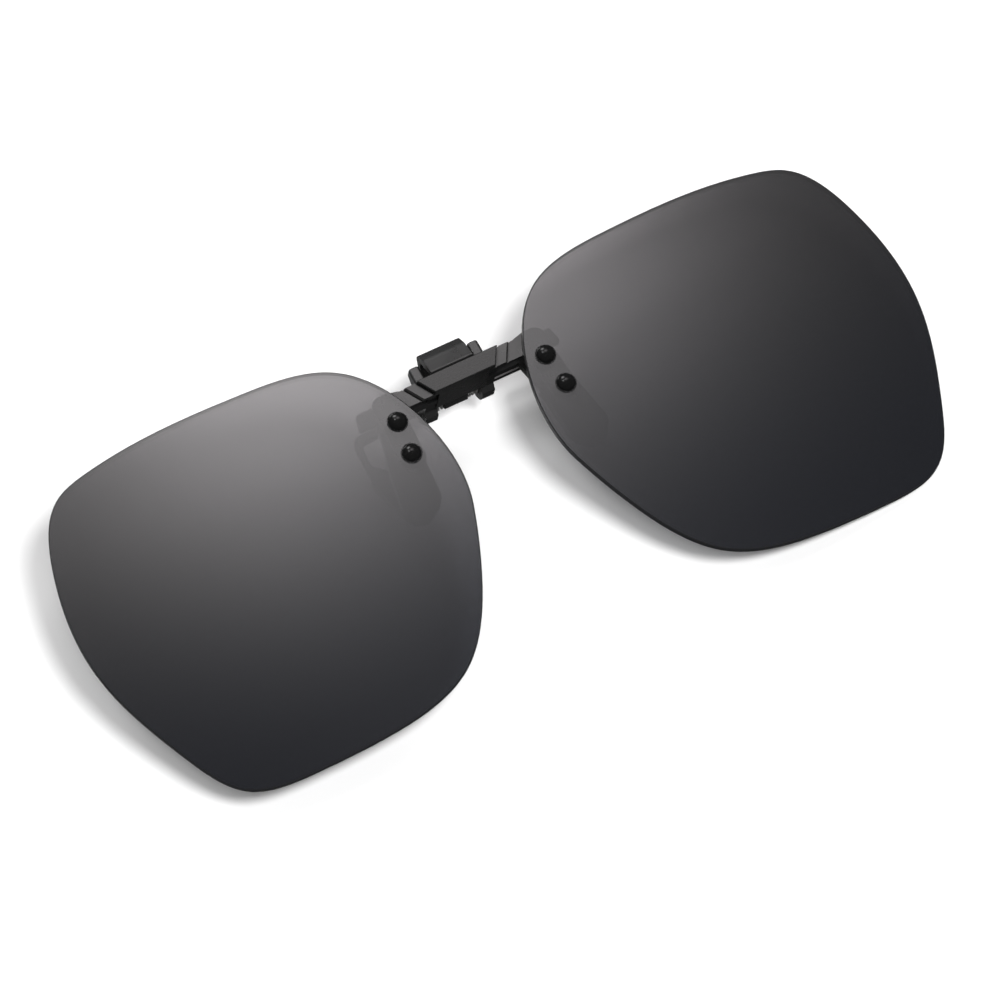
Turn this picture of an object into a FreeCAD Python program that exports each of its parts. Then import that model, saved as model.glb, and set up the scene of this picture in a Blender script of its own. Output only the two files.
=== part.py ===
import FreeCAD, Part
import math
import os
from FreeCAD import Vector

# Clip-on sunglasses, held as they are worn: +Z up, lens fronts towards -Y, +X to the wearer's left.
# The origin is in the slot between the front and rear jaws, midway between the lenses,
# at the height of the lens centres. All lengths are millimetres.

# Lenses
LENS_CENTRE_X = 41.07
LENS_FRONT_Y = -5.07
LENS_THICKNESS = 1.1
LENS_RADIUS = 500.0
WRAP_DEG = 4.5
LENS_CHAMFER = 0.15
# Outline about the lens centre, seen from the front on the +X lens: (outwards, up)
LENS_OUTLINE = [
    (-31.9, -2.9), (-27.2, -14.5), (-18.1, -26.4), (-1.7, -30.4), (10.0, -30.4),
    (20.6, -28.2), (26.9, -18.9), (32.8, -0.6), (31.1, 17.1), (24.6, 27.9),
    (19.1, 29.5), (-8.0, 30.0), (-23.2, 26.5), (-31.3, 14.5),
]

# Rivets through lens and pad
RIVETS = {"upper": (13.27, 14.57), "lower": (13.82, 8.87)}
RIVET_HEAD_R = 1.52
RIVET_DOME_HEIGHT = 1.05
RIVET_SHANK_R = 0.7
RIVET_TAIL_R = 1.15
RIVET_TAIL_LENGTH = 0.45
SLEEVE_R = 0.85
WASHER_R = 1.7
WASHER_THICKNESS = 0.18
BACK_WASHER_R = 1.6
BACK_WASHER_THICKNESS = 0.3

# Front frame: bar, stepped necks and rivet pads
BAR_FRONT_Y = -5.3
BAR_BACK_Y = -4.55
PAD_BACK_Y = -4.1
BAR_BOTTOM = 16.5
BAR_TOP = 19.5
NECK_MID_Z = 18.0
NECK_SLANT = 0.6
STEP_X = 8.2
STEP_BEVEL = 0.3
STEP_DEPTH = 0.35
GROOVE_WIDTH = 0.3
GROOVE_DEPTH = 0.6
COVER_THICKNESS = 0.8
COVER_TOP_HALF = 7.25
COVER_BOTTOM_HALF = 5.4
COVER_PEG_X = 2.6
COVER_PEG_R = 0.5
COVER_PEG_LENGTH = 0.6
SCREW_X = 5.1
SCREW_Z = 18.0
SCREW_HEAD_R = 0.9
SCREW_HEAD_HEIGHT = 0.4
SCREW_R = 0.45
SCREW_END_Y = -2.4

# Clip body: front arm, front legs and the two cheeks that carry the jaw pin
ARM_FRONT_Y = -2.0
ARM_BACK_Y = -0.6
ARM_BOTTOM = 16.6
ARM_TOP = 19.9
DECK_TOP = 17.2
DECK_END_Y = 1.0
CHEEK_IN = 4.0
CHEEK_OUT = 6.2
TAB_IN = 4.3
PIN_Y = 4.8
PIN_Z = 18.3
PIN_R = 0.5
PIN_HALF = 5.9

# Rear jaw: thumb lever, knuckle, cross beam and two hooked legs
LEVER_HALF = 3.7
KNUCKLE_HALF = 2.0
KNUCKLE_R = 1.2
KNUCKLE_BORE_R = 0.55
BEAM_FRONT_Y = 7.25
BEAM_BACK_Y = 8.35
BEAM_BOTTOM = 19.05
BEAM_TOP = 20.15
BEAM_HALF = 13.6
LEG_LEAN_DEG = 18.7
LEG_TOP_Y = 7.8
LEG_TOP_Z = 19.6
REAR_LEG_THICKNESS = 1.1

# Soft sleeves on the legs
SLEEVE_SKIN = 0.4
FRONT_SLEEVE_TOP = 11.0
REAR_SLEEVE_TOP = 10.8

# Torsion springs on the jaw pin
WIRE_R = 0.18
COIL_R = 0.82
COIL_PITCH = 0.6
COIL_TURNS = 2.375
COIL_START_X = 2.3
FIXED_LEG = 4.6
MOVING_LEG = 4.3

SIDES = {"left": -1, "right": 1}
ALONG_Y = Vector(0, 1, 0)
ALONG_X = Vector(1, 0, 0)


def rounded_loop(corners):
    """Closed wire through (point, radius) corners: straight runs joined by tangent arcs."""
    arcs = []
    for index, (here, radius) in enumerate(corners):
        before = (corners[index - 1][0] - here).normalize()
        after = (corners[(index + 1) % len(corners)][0] - here).normalize()
        half = before.getAngle(after) / 2
        reach = radius / math.tan(half)
        middle = here + (before + after).normalize() * (radius / math.sin(half) - radius)
        arcs.append((here + before * reach, middle, here + after * reach))
    edges = []
    for index, (start, middle, end) in enumerate(arcs):
        if corners[index][1] > 0:
            edges.append(Part.Arc(start, middle, end).toShape())
        following = arcs[(index + 1) % len(arcs)][0]
        if (following - end).Length > 1e-6:
            edges.append(Part.LineSegment(end, following).toShape())
    return Part.Wire(edges)


def front_prism(corners, front_y, back_y):
    """Solid with a front outline of (x, z, radius) corners, from front_y back to back_y."""
    loop = rounded_loop([(Vector(x, front_y, z), radius) for x, z, radius in corners])
    return Part.Face(loop).extrude(Vector(0, back_y - front_y, 0))


def side_prism(corners, low_x, high_x):
    """Solid with a side outline of (y, z, radius) corners, from low_x to high_x."""
    loop = rounded_loop([(Vector(low_x, y, z), radius) for y, z, radius in corners])
    return Part.Face(loop).extrude(Vector(high_x - low_x, 0, 0))


def block(low, high):
    """Box between two corners."""
    size = Vector(*high) - Vector(*low)
    return Part.makeBox(size.x, size.y, size.z, Vector(*low))


def rod_y(x, z, radius, front_y, back_y):
    """Cylinder along Y."""
    return Part.makeCylinder(radius, back_y - front_y, Vector(x, front_y, z), ALONG_Y)


def rod_x(y, z, radius, low_x, high_x):
    """Cylinder along X."""
    return Part.makeCylinder(radius, high_x - low_x, Vector(low_x, y, z), ALONG_X)


def mirrored(shape):
    """The same shape on the -X side."""
    return shape.mirror(Vector(0, 0, 0), ALONG_X)


def both_sides(shape):
    return shape.fuse(mirrored(shape))


def on_side(shape, side):
    return shape if SIDES[side] > 0 else mirrored(shape)


def lens_ball(offset):
    """Ball that shares the lens's centre of curvature, offset outwards from the lens front."""
    wrap = math.radians(WRAP_DEG)
    centre = Vector(
        LENS_CENTRE_X - LENS_RADIUS * math.sin(wrap),
        LENS_FRONT_Y + LENS_RADIUS * math.cos(wrap),
        0,
    )
    return Part.makeSphere(LENS_RADIUS + offset, centre)


def lens():
    """Curved lens of even thickness with a smooth outline, two rivet holes and eased edges."""
    wrap = math.radians(WRAP_DEG)
    across = Vector(math.cos(wrap), math.sin(wrap), 0)
    outwards = Vector(math.sin(wrap), -math.cos(wrap), 0)
    reach = 6.0
    start = Vector(LENS_CENTRE_X, LENS_FRONT_Y, 0) + outwards * reach
    points = [start + across * a + Vector(0, 0, b) for a, b in LENS_OUTLINE]
    curve = Part.BSplineCurve()
    curve.interpolate(Points=points, PeriodicFlag=True)
    blank = Part.Face(Part.Wire(curve.toShape())).extrude(outwards * (-2 * reach))
    solid = blank.common(lens_ball(0)).cut(lens_ball(-LENS_THICKNESS))
    rims = [edge for edge in solid.Edges if edge.Length > 100]
    solid = solid.makeChamfer(LENS_CHAMFER, rims)
    for x, z in RIVETS.values():
        solid = solid.cut(rod_y(x, z, SLEEVE_R, -12, 0))
    return solid


def rivet(x, z):
    """Domed snap rivet: low round head, shank through lens and pad, swelled tail."""
    ball_r = (RIVET_HEAD_R**2 + RIVET_DOME_HEIGHT**2) / (2 * RIVET_DOME_HEIGHT)
    seat_y = -6.65
    dome = Part.makeSphere(ball_r, Vector(x, seat_y - RIVET_DOME_HEIGHT + ball_r, z))
    head = rod_y(x, z, RIVET_HEAD_R, seat_y - 2, seat_y + 1).common(dome)
    head = head.cut(lens_ball(WASHER_THICKNESS))
    tail_y = PAD_BACK_Y + BACK_WASHER_THICKNESS
    shank = rod_y(x, z, RIVET_SHANK_R, seat_y - 0.3, tail_y + 0.1)
    tail = rod_y(x, z, RIVET_TAIL_R, tail_y, tail_y + RIVET_TAIL_LENGTH)
    tail = tail.makeFillet(0.2, [edge for edge in tail.Edges if edge.CenterOfMass.y > tail_y + 0.4])
    return head.fuse([shank, tail]).removeSplitter()


def rivet_sleeve(x, z):
    """Clear flanged bush: its flange shows as a ring under the rivet head, its barrel lines the lens hole."""
    flange = rod_y(x, z, WASHER_R, -8, -4).common(lens_ball(WASHER_THICKNESS)).cut(lens_ball(0))
    barrel = rod_y(x, z, SLEEVE_R, -8, -4).common(lens_ball(0.1)).cut(lens_ball(-LENS_THICKNESS))
    return flange.fuse(barrel).cut(rod_y(x, z, RIVET_SHANK_R, -9, -3)).removeSplitter()


def back_washer(x, z):
    """Flat washer between the pad and the rivet's tail."""
    disc = rod_y(x, z, BACK_WASHER_R, PAD_BACK_Y, PAD_BACK_Y + BACK_WASHER_THICKNESS)
    return disc.cut(rod_y(x, z, RIVET_SHANK_R, -5, -3))


def neck_cutters():
    """Slanting cuts in the +X neck: a groove beside the cover, and a bevelled step with a groove at its foot."""
    slant = Vector(NECK_SLANT, 0, 1)
    above = BAR_FRONT_Y - 1
    foot = STEP_X + STEP_BEVEL
    step = [
        (STEP_X - 1, above), (STEP_X, BAR_FRONT_Y), (foot, BAR_FRONT_Y + STEP_BEVEL),
        (foot, BAR_FRONT_Y + GROOVE_DEPTH), (foot + GROOVE_WIDTH, BAR_FRONT_Y + GROOVE_DEPTH),
        (foot + GROOVE_WIDTH, BAR_FRONT_Y + STEP_DEPTH), (11.2, BAR_FRONT_Y + STEP_DEPTH), (11.2, above),
    ]
    cover_end = COVER_BOTTOM_HALF + (NECK_MID_Z - BAR_BOTTOM) * NECK_SLANT
    groove = [
        (cover_end, above), (cover_end, BAR_FRONT_Y + GROOVE_WIDTH),
        (cover_end + GROOVE_WIDTH, BAR_FRONT_Y + GROOVE_WIDTH), (cover_end + GROOVE_WIDTH, above),
    ]
    cutters = []
    for profile in (step, groove):
        points = [Vector(x, y, NECK_MID_Z) - slant * 5 for x, y in profile + profile[:1]]
        cutters.append(Part.Face(Part.makePolygon(points)).extrude(slant * 10))
    return cutters


def front_frame():
    """Bar between the lenses, with stepped necks and a two-rivet pad behind each lens."""
    bar = front_prism(
        [(-12.5, BAR_BOTTOM, 0), (12.5, BAR_BOTTOM, 0), (12.5, BAR_TOP, 0), (-12.5, BAR_TOP, 0)],
        BAR_FRONT_Y, BAR_BACK_Y,
    )
    pad = front_prism(
        [
            (9.9, BAR_TOP, 0.6), (12.4, 20.1, 1.5), (15.5, 20.1, 1.9), (15.4, 15.5, 4),
            (16.0, 7.2, 2.2), (13.8, 6.0, 1.6), (11.6, 7.2, 2.0), (11.2, BAR_BOTTOM, 0.6),
            (10.4, BAR_BOTTOM, 0.3),
        ],
        BAR_FRONT_Y, PAD_BACK_Y,
    )
    frame = bar.fuse(both_sides(pad))
    for cutter in neck_cutters():
        frame = frame.cut(both_sides(cutter))
    inside = lens_ball(-LENS_THICKNESS)
    beyond = block((10.2, -12, -5), (25, 5, 30)).cut(inside)
    frame = frame.cut(both_sides(beyond))
    for x, z in RIVETS.values():
        frame = frame.cut(both_sides(rod_y(x, z, RIVET_SHANK_R, -9, 0)))
    frame = frame.cut(both_sides(rod_y(COVER_PEG_X, SCREW_Z, COVER_PEG_R, -6, -4)))
    frame = frame.cut(both_sides(screw_body(SCREW_X)))
    return frame.removeSplitter()


def bridge_cover():
    """Trapezoid cover that stands proud of the bar and hides its screws."""
    plate = front_prism(
        [
            (-COVER_BOTTOM_HALF, BAR_BOTTOM, 0.25), (COVER_BOTTOM_HALF, BAR_BOTTOM, 0.25),
            (COVER_TOP_HALF, BAR_TOP + 0.05, 0.1), (-COVER_TOP_HALF, BAR_TOP + 0.05, 0.1),
        ],
        BAR_FRONT_Y - COVER_THICKNESS, BAR_FRONT_Y,
    )
    front_y = BAR_FRONT_Y - COVER_THICKNESS
    rim = [edge for edge in plate.Edges if abs(edge.BoundBox.YMax - front_y) < 1e-6]
    plate = plate.makeFillet(0.18, rim)
    peg = rod_y(COVER_PEG_X, SCREW_Z, COVER_PEG_R, BAR_FRONT_Y, BAR_FRONT_Y + COVER_PEG_LENGTH)
    return plate.fuse(both_sides(peg)).removeSplitter()


def screw_body(x):
    """Countersunk screw without its slot, flush with the bar's front."""
    head_end = BAR_FRONT_Y + SCREW_HEAD_HEIGHT
    head = Part.makeCone(
        SCREW_HEAD_R, SCREW_R, SCREW_HEAD_HEIGHT, Vector(x, BAR_FRONT_Y, SCREW_Z), ALONG_Y
    )
    return head.fuse(rod_y(x, SCREW_Z, SCREW_R, head_end, SCREW_END_Y))


def bridge_screw(x):
    """Screw that joins the front frame to a cheek of the clip body."""
    slot = block((x - 1, BAR_FRONT_Y - 0.1, SCREW_Z - 0.1), (x + 1, BAR_FRONT_Y + 0.18, SCREW_Z + 0.1))
    return screw_body(x).cut(slot).removeSplitter()


def front_leg():
    """Front leg behind the +X lens: a tapering plate that splays outwards to a rounded toe."""
    return front_prism(
        [
            (9.8, 18.0, 0), (15.0, 18.0, 0), (18.0, 2.2, 2.0), (16.0, -0.9, 1.3),
            (12.2, 1.4, 2.2), (11.6, 9.5, 6.0),
        ],
        ARM_FRONT_Y, ARM_BACK_Y,
    )


def front_pad():
    """Soft sleeve, closed at the toe, over the lower part of a front leg."""
    leg = front_leg()
    outline = [edge for edge in leg.Edges if edge.BoundBox.YMax < ARM_FRONT_Y + 1e-6]
    loop = Part.Wire(Part.__sortEdges__(outline)).makeOffset2D(SLEEVE_SKIN)
    loop.translate(Vector(0, -SLEEVE_SKIN, 0))
    depth = ARM_BACK_Y - ARM_FRONT_Y + 2 * SLEEVE_SKIN
    sleeve = Part.Face(loop).extrude(Vector(0, depth, 0))
    sleeve = sleeve.common(block((5, -6, -8), (25, 6, FRONT_SLEEVE_TOP)))
    return sleeve.cut(leg).removeSplitter()


def cheek():
    """Side cheek: web from the bar back to a round ear for the pin, with a guard tab on top."""
    ear_r = 2.19
    web = side_prism(
        [
            (BAR_BACK_Y, 16.9, 0), (2.2, 16.9, 0.5), (3.4, PIN_Z - 2.2, 0.8),
            (PIN_Y + 2.2, PIN_Z - 2.2, ear_r), (PIN_Y + 2.2, PIN_Z + 2.2, ear_r),
            (1.6, PIN_Z + 2.2, 1.0), (1.0, 19.4, 0), (BAR_BACK_Y, 19.4, 0),
        ],
        CHEEK_IN, CHEEK_OUT,
    )
    tab = side_prism(
        [(-1.6, 18.5, 0), (2.6, 18.5, 0), (2.2, 20.4, 0.6), (0.2, 23.4, 0.5), (-1.6, 23.4, 0.25)],
        TAB_IN, CHEEK_OUT,
    )
    upright = [edge for edge in tab.Edges if edge.BoundBox.YMax < -1.55 and edge.BoundBox.ZLength > 3]
    tab = tab.makeFillet(0.45, upright)
    ear = web.fuse(tab).cut(rod_x(PIN_Y, PIN_Z, PIN_R, CHEEK_IN - 1, PIN_HALF))
    return ear.cut(rod_y(SCREW_X, SCREW_Z, SCREW_R, BAR_BACK_Y - 1, SCREW_END_Y))


def clip_body():
    """Arm across the back of the bar, with the front legs, the deck and the two cheeks."""
    arm = front_prism(
        [
            (-9.8, ARM_BOTTOM, 0.1), (9.8, ARM_BOTTOM, 0.1), (14.0, 17.2, 0), (18.0, 17.2, 0.3),
            (17.4, ARM_TOP, 0.3), (-17.4, ARM_TOP, 0.3), (-18.0, 17.2, 0.3), (-14.0, 17.2, 0),
        ],
        ARM_FRONT_Y, ARM_BACK_Y,
    )
    deck = block((-CHEEK_IN - 0.5, BAR_BACK_Y, BAR_BOTTOM), (CHEEK_IN + 0.5, DECK_END_Y, DECK_TOP))
    body = arm.fuse([deck, both_sides(cheek()), both_sides(front_leg())])
    return body.removeSplitter()


def leg_y(z):
    """Y of the rear legs' middle plane at height z."""
    return LEG_TOP_Y - (LEG_TOP_Z - z) * math.tan(math.radians(LEG_LEAN_DEG))


def rear_leg_outline():
    """Outline of the +X rear leg, in its leaning plane: a thin hook that widens to a paddle at the toe."""
    corners = [
        (13.2, 19.65, 0.3), (17.4, 19.65, 2.0), (18.5, 11.0, 6.0), (17.0, 1.8, 2.4), (15.5, 0.1, 1.2),
        (13.6, 2.6, 1.8), (14.1, 9.9, 2.0), (17.25, 13.5, 0.8), (16.4, 18.2, 1.1), (13.2, 18.4, 0.3),
    ]
    return rounded_loop([(Vector(x, leg_y(z), z), radius) for x, z, radius in corners])


def leaning_plate(loop, thickness):
    """Plate of the given thickness centred on the leaning plane of a loop."""
    lean = math.radians(LEG_LEAN_DEG)
    forward = Vector(0, -math.cos(lean), math.sin(lean))
    plate = Part.Face(loop).extrude(forward * thickness)
    plate.translate(forward * (-thickness / 2))
    return plate


def rear_leg():
    """Hooked rear leg."""
    return leaning_plate(rear_leg_outline(), REAR_LEG_THICKNESS)


def rear_pad():
    """Soft sleeve, closed at the toe, over the paddle of a rear leg."""
    thickness = REAR_LEG_THICKNESS + 2 * SLEEVE_SKIN
    full = leaning_plate(rear_leg_outline().makeOffset2D(SLEEVE_SKIN), thickness)
    sleeve = full.common(block((5, -6, -8), (25, 14, REAR_SLEEVE_TOP)))
    return sleeve.cut(rear_leg()).removeSplitter()


def rear_jaw():
    """Thumb lever with a rolled top, knuckle on the pin, cross beam and the hooked rear legs."""
    lever = side_prism(
        [
            (-3.8, 20.5, 0.3), (-3.0, 23.2, 2.2), (-1.1, 25.35, 1.3), (BEAM_BACK_Y, 19.86, 0.5),
            (BEAM_BACK_Y, BEAM_BOTTOM, 0.3), (BEAM_FRONT_Y, BEAM_BOTTOM, 0.2),
            (-0.79, 24.17, 0.8), (-2.6, 20.25, 0.3),
        ],
        -LEVER_HALF, LEVER_HALF,
    )
    web = side_prism(
        [(3.9, PIN_Z, 0), (5.8, PIN_Z, 0), (6.6, 20.6, 0.3), (4.2, 21.9, 0.3)],
        -KNUCKLE_HALF, KNUCKLE_HALF,
    )
    knuckle = rod_x(PIN_Y, PIN_Z, KNUCKLE_R, -KNUCKLE_HALF, KNUCKLE_HALF)
    beam = block((-BEAM_HALF, BEAM_FRONT_Y, BEAM_BOTTOM), (BEAM_HALF, BEAM_BACK_Y, BEAM_TOP))
    jaw = lever.fuse([web, knuckle, beam, both_sides(rear_leg())])
    jaw = jaw.cut(rod_x(PIN_Y, PIN_Z, KNUCKLE_BORE_R, -KNUCKLE_HALF - 1, KNUCKLE_HALF + 1))
    return jaw.removeSplitter()


def torsion_spring():
    """One bent wire round the pin on the +X side: outer leg on the deck, inner leg under the lever."""
    turn = 2 * math.pi * COIL_TURNS
    height = COIL_PITCH * COIL_TURNS
    steps = 16 * int(COIL_TURNS) + 6
    shares = (0, 0.25, 0.5, 0.75, 0.9)
    path = [Vector(COIL_START_X, PIN_Y - FIXED_LEG * (1 - share), PIN_Z - COIL_R) for share in shares]
    for step in range(steps + 1):
        angle = turn * step / steps
        x = COIL_START_X + height * step / steps
        path.append(Vector(x, PIN_Y + COIL_R * math.sin(angle), PIN_Z - COIL_R * math.cos(angle)))
    away = Vector(0, math.cos(turn), math.sin(turn)) * MOVING_LEG
    path += [path[-1] + away * (1 - share) for share in reversed(shares)]
    curve = Part.BSplineCurve()
    curve.interpolate(Points=path)
    section = Part.Wire(Part.makeCircle(WIRE_R, path[0], ALONG_Y))
    wire = Part.Wire(curve.toShape()).makePipeShell([section], True, False)
    return wire.mirror(Vector(COIL_START_X + height / 2, 0, 0), ALONG_X)


def save(name, shape):
    """Write one node's solids."""
    solids = shape.Solids
    result = solids[0] if len(solids) == 1 else Part.makeCompound(solids)
    assert result.isValid(), name
    result.exportStep(f"parts/{name}.step")
    box = result.BoundBox
    print(f"{name:26s} solids {len(solids)} volume {result.Volume:9.2f} "
          f"x {box.XMin:7.2f} {box.XMax:7.2f} y {box.YMin:6.2f} {box.YMax:6.2f} z {box.ZMin:6.2f} {box.ZMax:6.2f}")


def main():
    os.makedirs("parts", exist_ok=True)
    save("front_frame", front_frame())
    save("bridge_cover", bridge_cover())
    save("clip_body", clip_body())
    save("rear_jaw", rear_jaw())
    save("jaw_pin", rod_x(PIN_Y, PIN_Z, PIN_R, -PIN_HALF, PIN_HALF))
    pieces = {
        "lens": lens(),
        "bridge_screw": bridge_screw(SCREW_X),
        "front_pad": front_pad(),
        "rear_pad": rear_pad(),
        "torsion_spring": torsion_spring(),
    }
    for level, (x, z) in RIVETS.items():
        pieces[f"rivet_{level}"] = rivet(x, z)
        pieces[f"rivet_sleeve_{level}"] = rivet_sleeve(x, z)
        pieces[f"back_washer_{level}"] = back_washer(x, z)
    for name, shape in pieces.items():
        for side in SIDES:
            save(f"{name}_{side}", on_side(shape, side))


main()
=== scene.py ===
import bpy
import math
from mathutils import Matrix, Vector


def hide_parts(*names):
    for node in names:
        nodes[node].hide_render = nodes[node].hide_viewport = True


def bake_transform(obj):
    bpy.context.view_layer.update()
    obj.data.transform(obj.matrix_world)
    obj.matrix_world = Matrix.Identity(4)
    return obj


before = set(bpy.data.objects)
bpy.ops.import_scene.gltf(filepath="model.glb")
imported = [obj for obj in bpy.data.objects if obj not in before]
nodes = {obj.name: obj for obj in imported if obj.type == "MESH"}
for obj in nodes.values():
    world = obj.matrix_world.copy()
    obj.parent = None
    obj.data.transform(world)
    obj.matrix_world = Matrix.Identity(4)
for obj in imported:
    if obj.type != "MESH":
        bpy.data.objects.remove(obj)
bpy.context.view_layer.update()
MM = 0.001


# ---------------------------------------------------------------- node helpers

class Tree:
    """A material's node tree, with short calls that add a node and wire it up."""

    def __init__(self, name):
        self.mat = bpy.data.materials.new(name)
        self.mat.use_nodes = True
        self.nodes = self.mat.node_tree.nodes
        self.links = self.mat.node_tree.links
        self.nodes.clear()
        self.coords = self.add("ShaderNodeTexCoord").outputs["Object"]

    def add(self, kind, values=None, **settings):
        node = self.nodes.new(kind)
        for key, value in settings.items():
            setattr(node, key, value)
        for key, value in (values or {}).items():
            socket = node.inputs[key]
            if isinstance(value, bpy.types.NodeSocket):
                self.links.new(value, socket)
            else:
                socket.default_value = value
        return node

    def math(self, operation, first, second=0.0):
        return self.add("ShaderNodeMath", {0: first, 1: second}, operation=operation).outputs[0]

    def ramp_between(self, value, low, high, out_low=0.0, out_high=1.0):
        node = self.add(
            "ShaderNodeMapRange",
            {"Value": value, "From Min": low, "From Max": high, "To Min": out_low, "To Max": out_high},
            interpolation_type="SMOOTHSTEP",
        )
        return node.outputs["Result"]

    def noise(self, scale, detail=3.0, stretch=None, rough=0.5):
        where = self.coords
        if stretch:
            where = self.add("ShaderNodeMapping", {"Vector": where, "Scale": stretch}).outputs[0]
        node = self.add(
            "ShaderNodeTexNoise",
            {"Vector": where, "Scale": scale, "Detail": detail, "Roughness": rough},
        )
        return node.outputs["Fac"]

    def mix(self, amount, first, second):
        node = self.add("ShaderNodeMix", data_type="RGBA")
        for socket, value in ((node.inputs[0], amount), (node.inputs[6], first), (node.inputs[7], second)):
            if isinstance(value, bpy.types.NodeSocket):
                self.links.new(value, socket)
            else:
                socket.default_value = value
        return node.outputs[2]

    def painted_crevice_shade(self, colour, distance, painted_shade_level):
        """Colour with painted shade: darkened in grooves and inside corners, wherever ambient occlusion
        finds them.
        """
        open_sky = self.add("ShaderNodeAmbientOcclusion", {"Distance": distance}, samples=8).outputs["AO"]
        return self.mix(self.ramp_between(open_sky, 0.35, 0.95, painted_shade_level, 1.0), grey(0.002), colour)

    def bump(self, height, strength, distance, normal=None):
        values = {"Height": height, "Strength": strength, "Distance": distance}
        if normal is not None:
            values["Normal"] = normal
        return self.add("ShaderNodeBump", values).outputs[0]

    def finish(self, shader):
        out = self.add("ShaderNodeOutputMaterial")
        self.links.new(shader, out.inputs["Surface"])
        return self.mat


def grey(value, tint=(1.0, 1.0, 1.0)):
    return (value * tint[0], value * tint[1], value * tint[2], 1.0)


# ---------------------------------------------------------------- materials

def moulded_plastic(name, dark, light, rough_low, rough_high, grain_mm, grain_strength):
    """Satin black moulding: fine spark-eroded grain, faint flow marks, edges lighter as rubbed wear and
    painted highlight, painted shade in grooves.
    """
    t = Tree(name)
    cloud = t.noise(140.0, 4.0)
    grain = t.noise(1000.0 / grain_mm, 2.0)
    edge = t.add("ShaderNodeNewGeometry").outputs["Pointiness"]
    # edges lighter: partly rubbed wear, partly a painted highlight
    worn_and_highlit_edge = t.ramp_between(edge, 0.52, 0.62)
    base = t.mix(t.ramp_between(cloud, 0.3, 0.7), grey(dark), grey(light, (1.0, 1.0, 1.03)))
    colour = t.mix(t.math("MULTIPLY", worn_and_highlit_edge, 0.35), base, grey(light * 2.6))
    # painted shade: the colour darkens in grooves and inside corners
    colour = t.painted_crevice_shade(colour, 2.4 * MM, 0.05)
    rough = t.ramp_between(t.noise(420.0, 3.0), 0.3, 0.7, rough_low, rough_high)
    coarse = t.bump(cloud, 0.12, 0.00006)
    fine = t.bump(grain, grain_strength, 0.00002, coarse)
    shader = t.add(
        "ShaderNodeBsdfPrincipled",
        {
            "Base Color": colour, "Roughness": rough, "Normal": fine,
            "IOR": 1.55, "Specular IOR Level": 1.0,
            "Coat Weight": 0.6, "Coat Roughness": 0.22,
        },
    )
    return t.finish(shader.outputs[0])


def gloss_trim(name, dark, light, rough_low, rough_high, coat):
    """Smooth black surface: deeper gloss than the moulding, hairline scuffs, a trace of orange peel and
    painted shade in grooves.
    """
    t = Tree(name)
    scuff = t.noise(900.0, 6.0, (1.0, 1.0, 9.0), 0.7)
    peel = t.noise(700.0, 1.5)
    colour = t.mix(t.ramp_between(scuff, 0.45, 0.75), grey(dark), grey(light, (1.0, 1.0, 1.05)))
    # painted shade: the colour darkens in grooves and inside corners
    colour = t.painted_crevice_shade(colour, 0.5 * MM, 0.15)
    rough = t.ramp_between(scuff, 0.35, 0.7, rough_low, rough_high)
    shader = t.add(
        "ShaderNodeBsdfPrincipled",
        {
            "Base Color": colour, "Roughness": rough, "IOR": 1.52,
            "Coat Weight": coat, "Coat Roughness": 0.15,
            "Normal": t.bump(peel, 0.1, 0.00004),
        },
    )
    return t.finish(shader.outputs[0])


def soft_sleeve(name):
    """Matt silicone sleeve with a dry bloom and tiny pits."""
    t = Tree(name)
    bloom = t.noise(260.0, 5.0)
    voronoi = t.add("ShaderNodeTexVoronoi", {"Vector": t.coords, "Scale": 2600.0}, feature="F1")
    pits = voronoi.outputs["Distance"]
    colour = t.mix(t.ramp_between(bloom, 0.35, 0.7), grey(0.02), grey(0.05, (1.02, 1.0, 0.97)))
    rough = t.ramp_between(bloom, 0.3, 0.7, 0.6, 0.78)
    shader = t.add(
        "ShaderNodeBsdfPrincipled",
        {
            "Base Color": colour, "Roughness": rough, "IOR": 1.42,
            "Sheen Weight": 0.25, "Sheen Roughness": 0.5,
            "Normal": t.bump(pits, 0.25, 0.00003),
        },
    )
    return t.finish(shader.outputs[0])


def drawn_steel(name, along):
    """Bright, slightly dulled steel with fine die lines along its length."""
    t = Tree(name)
    stretch = (0.04, 1.0, 1.0) if along == "x" else (1.0, 0.05, 1.0)
    lines = t.noise(5200.0, 3.0, stretch)
    stain = t.noise(380.0, 3.0)
    colour = t.mix(t.ramp_between(stain, 0.3, 0.75), grey(0.66), grey(0.78, (1.0, 0.99, 0.97)))
    rough = t.ramp_between(lines, 0.3, 0.7, 0.22, 0.4)
    shader = t.add(
        "ShaderNodeBsdfPrincipled",
        {"Base Color": colour, "Metallic": 0.7, "Roughness": rough, "Normal": t.bump(lines, 0.2, 0.00001)},
    )
    return t.finish(shader.outputs[0])


def clear_bush(name):
    """Translucent flanged bush: reads as a thin, faintly paler ring under the rivet's head."""
    t = Tree(name)
    haze = t.noise(1500.0, 3.0)
    colour = t.mix(t.ramp_between(haze, 0.35, 0.65), grey(0.02), grey(0.04, (1.0, 1.01, 1.03)))
    solid = t.add(
        "ShaderNodeBsdfPrincipled",
        {"Base Color": colour, "Roughness": 0.3, "IOR": 1.53, "Normal": t.bump(haze, 0.1, 0.00002)},
    )
    clear = t.add("ShaderNodeBsdfTransparent", {"Color": grey(0.8)})
    both = t.add("ShaderNodeMixShader", {0: 0.35, 1: clear.outputs[0], 2: solid.outputs[0]})
    return t.finish(both.outputs[0])


# Painted shade in the lens: heights and sideways distances where its see-through tint is darkest and
# lightest
PAINTED_SHADE_DARK_Z = -24 * MM
PAINTED_SHADE_LIGHT_Z = 28 * MM
PAINTED_SHADE_DARK_X = 70 * MM
PAINTED_SHADE_LIGHT_X = 22 * MM
SURFACE_SHARE = 0.6


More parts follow.
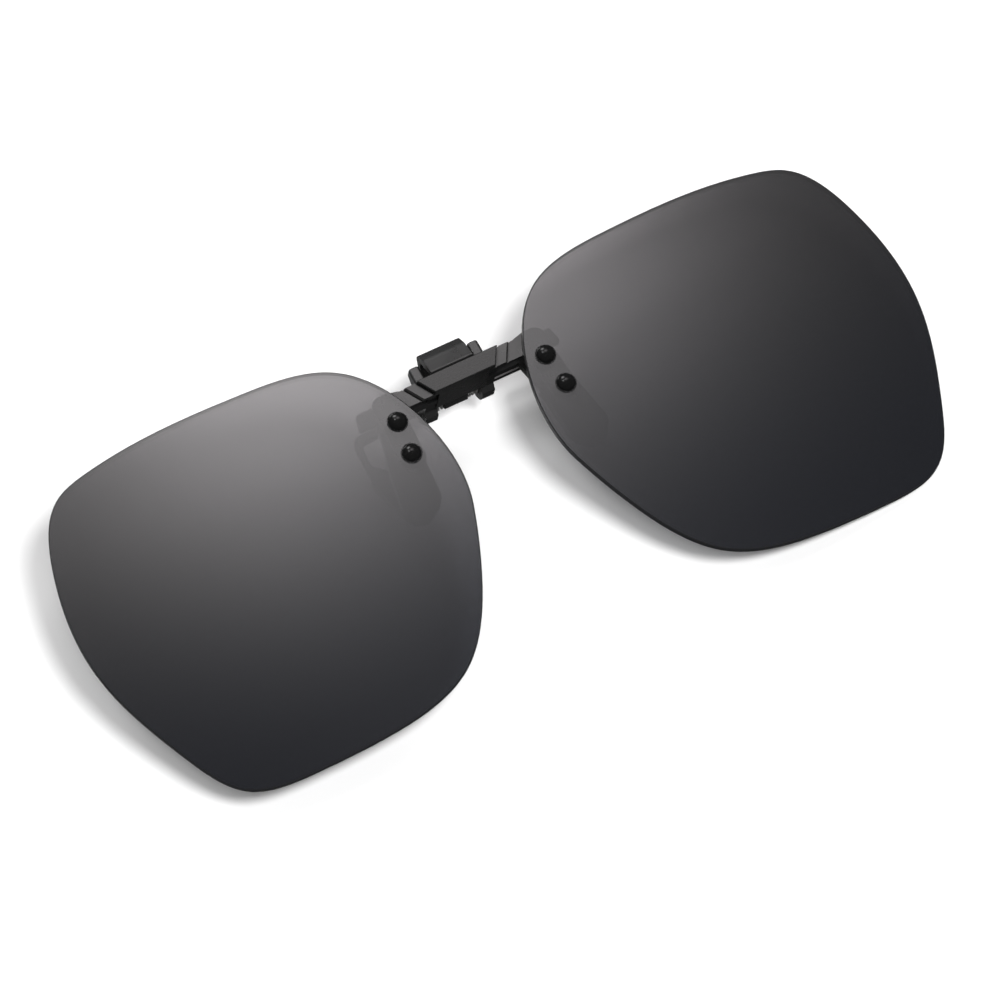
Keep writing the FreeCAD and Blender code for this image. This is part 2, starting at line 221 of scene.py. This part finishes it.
def smoke_lens(name):
    """Polished smoke lens with hard-coat gloss and a ground edge; painted shade darkens its see-through tint
    downwards and outwards.
    """
    t = Tree(name)
    place = t.add("ShaderNodeSeparateXYZ", {0: t.coords}).outputs
    # painted shade: the see-through tint darkens downwards, with faint random wisps, and towards the outer
    # edges
    wisps = t.math("MULTIPLY", t.math("SUBTRACT", t.noise(28.0, 3.0), 0.5), 0.04)
    painted_shade_level = t.math("ADD", t.ramp_between(place[2], PAINTED_SHADE_DARK_Z, PAINTED_SHADE_LIGHT_Z), wisps)
    sideways = t.math("ABSOLUTE", place[0])
    painted_shade_inward = t.ramp_between(sideways, PAINTED_SHADE_DARK_X, PAINTED_SHADE_LIGHT_X, 0.25, 1.0)
    facing = t.add("ShaderNodeNewGeometry").outputs["True Normal"]
    normal = t.add("ShaderNodeSeparateXYZ", {0: facing}).outputs
    ground = t.ramp_between(t.math("ABSOLUTE", normal[1]), 0.93, 0.86)
    # the haze colour follows the same painted shade, a little bluer lower down
    colour = t.mix(painted_shade_level, grey(0.022, (0.93, 0.98, 1.18)), grey(0.024, (0.98, 0.98, 1.04)))
    grain = t.noise(3000.0, 2.0)
    body = t.add(
        "ShaderNodeBsdfPrincipled",
        {
            "Base Color": t.mix(t.math("MULTIPLY", ground, 0.7), colour, grey(0.008, (0.97, 1.0, 1.03))),
            "Roughness": t.math("ADD", t.math("MULTIPLY", ground, 0.35), 0.06),
            "IOR": 1.58,
            "Specular IOR Level": 1.0,
            "Coat Weight": 1.0,
            "Coat Roughness": 0.04,
            "Normal": t.bump(t.math("MULTIPLY", grain, ground), 0.1, 0.00001),
        },
    )
    # smoke tint carrying painted shade: dark below and towards the outer edges, light above and nearer the
    # middle
    tint = t.mix(painted_shade_level, grey(0.22, (0.94, 1.0, 1.1)), grey(0.73, (1.01, 0.98, 1.0)))
    clear = t.add("ShaderNodeBsdfTransparent", {"Color": t.mix(painted_shade_inward, grey(0.0), tint)})
    cover = t.math("MAXIMUM", ground, SURFACE_SHARE)
    both = t.add("ShaderNodeMixShader", {0: cover, 1: clear.outputs[0], 2: body.outputs[0]})
    return t.finish(both.outputs[0])


plastic = moulded_plastic("MAT_satin_black_plastic", 0.007, 0.013, 0.25, 0.33, 0.16, 0.15)
trim = gloss_trim("MAT_black_trim", 0.008, 0.014, 0.24, 0.32, 1.0)
enamel = gloss_trim("MAT_rivet_enamel", 0.004, 0.008, 0.2, 0.28, 0.0)
sleeve = soft_sleeve("MAT_soft_sleeve")
pin_steel = drawn_steel("MAT_pin_steel", "x")
wire_steel = drawn_steel("MAT_spring_wire", "y")
bush = clear_bush("MAT_clear_bush")

FINISHES = {
    "front_frame": plastic,
    "clip_body": plastic,
    "rear_jaw": plastic,
    "bridge_cover": trim,
    "rivet_sleeve": bush,
    "rivet": enamel,
    "back_washer": enamel,
    "front_pad": sleeve,
    "rear_pad": sleeve,
    "jaw_pin": pin_steel,
    "bridge_screw": wire_steel,
    "torsion_spring": wire_steel,
    "lens": smoke_lens("MAT_smoke_lens"),
}


def dress(name, node):
    """Give a CAD node the finish whose key its name starts with, the longest key first."""
    key = next(k for k in sorted(FINISHES, key=len, reverse=True) if name.startswith(k))
    for slot in node.material_slots:
        slot.material = FINISHES[key]
    if not node.material_slots:
        node.data.materials.append(FINISHES[key])


for name, node in nodes.items():
    dress(name, node)


# ---------------------------------------------------------------- spring wires as objects of their own


def twisting_spring(side):
    """Copy the spring's wire into an object of its own and hide the CAD spring."""
    node = nodes[f"torsion_spring_{side}"]
    wire = bpy.data.objects.new(f"spring_wire_{side}", node.data.copy())
    bpy.context.scene.collection.objects.link(wire)
    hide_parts(node.name)
    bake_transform(wire)


twisting_spring("left")
twisting_spring("right")


# ---------------------------------------------------------------- stage

def plane(name, centre, normal, up, width, height):
    """A flat sheet facing along normal."""
    normal = normal.normalized()
    side = up.cross(normal).normalized()
    rise = normal.cross(side)
    corners = [(-1, -1), (1, -1), (1, 1), (-1, 1)]
    points = [centre + side * (a * width / 2) + rise * (b * height / 2) for a, b in corners]
    mesh = bpy.data.meshes.new(name)
    mesh.from_pydata([tuple(p) for p in points], [], [(0, 1, 2, 3)])
    obj = bpy.data.objects.new(name, mesh)
    bpy.context.scene.collection.objects.link(obj)
    return obj


def table_material():
    """Pale table, seen and lit from its upper side only, and too dim in reflections to light the object."""
    t = Tree("MAT_pale_table")
    fibre = t.noise(35.0, 3.0)
    seen = t.add("ShaderNodeLightPath").outputs["Is Camera Ray"]
    pale = t.mix(t.ramp_between(fibre, 0.3, 0.7), grey(0.86), grey(0.88))
    face = t.add("ShaderNodeBsdfDiffuse", {"Color": t.mix(seen, grey(0.03), pale)})
    clear = t.add("ShaderNodeBsdfTransparent")
    under = t.add("ShaderNodeNewGeometry").outputs["Backfacing"]
    both = t.add("ShaderNodeMixShader", {0: under, 1: face.outputs[0], 2: clear.outputs[0]})
    return t.finish(both.outputs[0])


LEAN = math.radians(13.0)
TURN = math.radians(3.0)
TABLE_BEHIND = 9.0 * MM
TABLE_SIZE = 0.8
flat = math.cos(LEAN)
table_normal = Vector((-math.sin(TURN) * flat, -math.cos(TURN) * flat, math.sin(LEAN)))
table_centre = Vector((0, TABLE_BEHIND, 0))
table = plane("stage_table", table_centre, table_normal, Vector((0, 0, 1)), TABLE_SIZE, TABLE_SIZE)
table.data.materials.append(table_material())
table.visible_shadow = False


def direction(azimuth, elevation):
    """Unit vector towards a point so far round from straight in front and so far above the horizon."""
    a, e = math.radians(azimuth), math.radians(elevation)
    return Vector((math.sin(a) * math.cos(e), -math.cos(a) * math.cos(e), math.sin(e)))


def softbox(name, azimuth, elevation, distance, power, size, gloss):
    """Round soft light aimed at the object; without gloss it lights matt surfaces only."""
    light = bpy.data.lights.new(name, "AREA")
    light.shape = "DISK"
    light.size = size
    light.energy = power
    obj = bpy.data.objects.new(name, light)
    towards = direction(azimuth, elevation)
    obj.location = towards * distance
    obj.rotation_mode = "QUATERNION"
    obj.rotation_quaternion = towards.to_track_quat("Z", "Y")
    obj.visible_glossy = gloss
    bpy.context.scene.collection.objects.link(obj)


CARD_AZIMUTH = 9.0
CARD_ELEVATION = 28.5
CARD_DISTANCE = 2.0
CARD_STRENGTH = 2.85
CARD_TINT = (1.0, 0.965, 0.975)
CARD_HALF_WIDTH = 1.3
CARD_HALF_HEIGHT = 0.85
GLOW_LEFT = 0.4
GLOW_RIGHT = 0.66
GLOW_UP = 0.365


def light_card():
    """Large diffused card in front and above: brightest in its middle, fading to nothing at its edges."""
    t = Tree("MAT_light_card")
    place = t.add("ShaderNodeSeparateXYZ", {0: t.coords}).outputs
    reach = t.ramp_between(place[0], -0.3, 0.3, GLOW_LEFT, GLOW_RIGHT)
    across = t.math("POWER", t.math("ABSOLUTE", t.math("DIVIDE", place[0], reach)), 2.0)
    up = t.math("POWER", t.math("ABSOLUTE", t.math("DIVIDE", place[1], GLOW_UP)), 1.7)
    level = t.math("EXPONENT", t.math("MULTIPLY", t.math("ADD", across, up), -1.0))
    strength = t.math("MULTIPLY", level, CARD_STRENGTH)
    glow = t.add("ShaderNodeEmission", {"Color": grey(1.0, CARD_TINT), "Strength": strength})
    material = t.finish(glow.outputs[0])
    w, h = CARD_HALF_WIDTH, CARD_HALF_HEIGHT
    mesh = bpy.data.meshes.new("stage_card")
    mesh.from_pydata([(-w, -h, 0), (w, -h, 0), (w, h, 0), (-w, h, 0)], [], [(0, 1, 2, 3)])
    mesh.materials.append(material)
    card = bpy.data.objects.new("stage_card", mesh)
    bpy.context.scene.collection.objects.link(card)
    a, e = math.radians(CARD_AZIMUTH), math.radians(CARD_ELEVATION)
    level_axis = Vector((math.cos(a), math.sin(a), 0))
    rising = Vector((-math.sin(a) * math.sin(e), math.cos(a) * math.sin(e), math.cos(e)))
    card.rotation_mode = "QUATERNION"
    turn = Matrix((level_axis, rising, level_axis.cross(rising))).transposed()
    card.rotation_quaternion = turn.to_quaternion()
    card.location = direction(CARD_AZIMUTH, CARD_ELEVATION) * CARD_DISTANCE


light_card()

# azimuth, elevation, distance, power, size, and whether polished surfaces reflect the light
LIGHTS = {
    "stage_front": (3.5, -12.5, 1.8, 29.5, 0.52, False),
    "stage_near": (-17.0, -17.0, 1.8, 9.5, 0.6, False),
    "stage_side": (55.0, 30.0, 1.8, 6.0, 1.0, False),
    "stage_fill": (-65.0, 45.0, 1.8, 5.0, 1.2, False),
    "stage_top": (-8.0, 66.0, 1.6, 5.0, 0.7, True),
    "stage_back": (205.0, 35.0, 1.8, 18.0, 1.2, True),
    "stage_spark": (-24.0, 28.0, 1.8, 3.0, 0.5, True),
}
for name, settings in LIGHTS.items():
    softbox(name, *settings)

AMBIENT_STRENGTH = 0.07
BACKDROP_STRENGTH = 1.0


def pale_world():
    """Dim even light all round, and a plain pale backdrop where nothing else is seen."""
    world = bpy.data.worlds.new("stage_world")
    world.use_nodes = True
    tree = world.node_tree
    tree.nodes.clear()
    out = tree.nodes.new("ShaderNodeOutputWorld")
    mix = tree.nodes.new("ShaderNodeMixShader")
    seen = tree.nodes.new("ShaderNodeLightPath").outputs["Is Camera Ray"]
    tree.links.new(seen, mix.inputs[0])
    for index, strength in ((1, AMBIENT_STRENGTH), (2, BACKDROP_STRENGTH)):
        background = tree.nodes.new("ShaderNodeBackground")
        background.inputs["Color"].default_value = (1.0, 1.0, 1.0, 1.0)
        background.inputs["Strength"].default_value = strength
        tree.links.new(background.outputs[0], mix.inputs[index])
    tree.links.new(mix.outputs[0], out.inputs["Surface"])
    bpy.context.scene.world = world


pale_world()

# ---------------------------------------------------------------- camera

CAMERA_AZIMUTH = -16.787
CAMERA_ELEVATION = -17.277
CAMERA_ROLL = -29.866
CAMERA_DISTANCE = 0.96834
CAMERA_LENS = 223.2
SENSOR_WIDTH = 36.0
PIVOT = Vector((0, -5 * MM, 0))
AIM_ACROSS = 2.375 * MM
AIM_UP = 4.965 * MM


def place_camera():
    roll = math.radians(CAMERA_ROLL)
    back = direction(CAMERA_AZIMUTH, CAMERA_ELEVATION)
    level = Vector((0, 0, 1)).cross(back).normalized()
    rise = back.cross(level)
    right = level * math.cos(roll) + rise * math.sin(roll)
    up = rise * math.cos(roll) - level * math.sin(roll)
    data = bpy.data.cameras.new("camera")
    data.lens = CAMERA_LENS
    data.sensor_width = SENSOR_WIDTH
    data.clip_start = 0.05
    data.clip_end = 20.0
    camera = bpy.data.objects.new("camera", data)
    bpy.context.scene.collection.objects.link(camera)
    camera.location = PIVOT + back * CAMERA_DISTANCE - right * AIM_ACROSS - up * AIM_UP
    camera.rotation_mode = "QUATERNION"
    camera.rotation_quaternion = Matrix((right, up, back)).transposed().to_quaternion()
    bpy.context.scene.camera = camera


place_camera()
bpy.context.scene.view_settings.view_transform = "Standard"
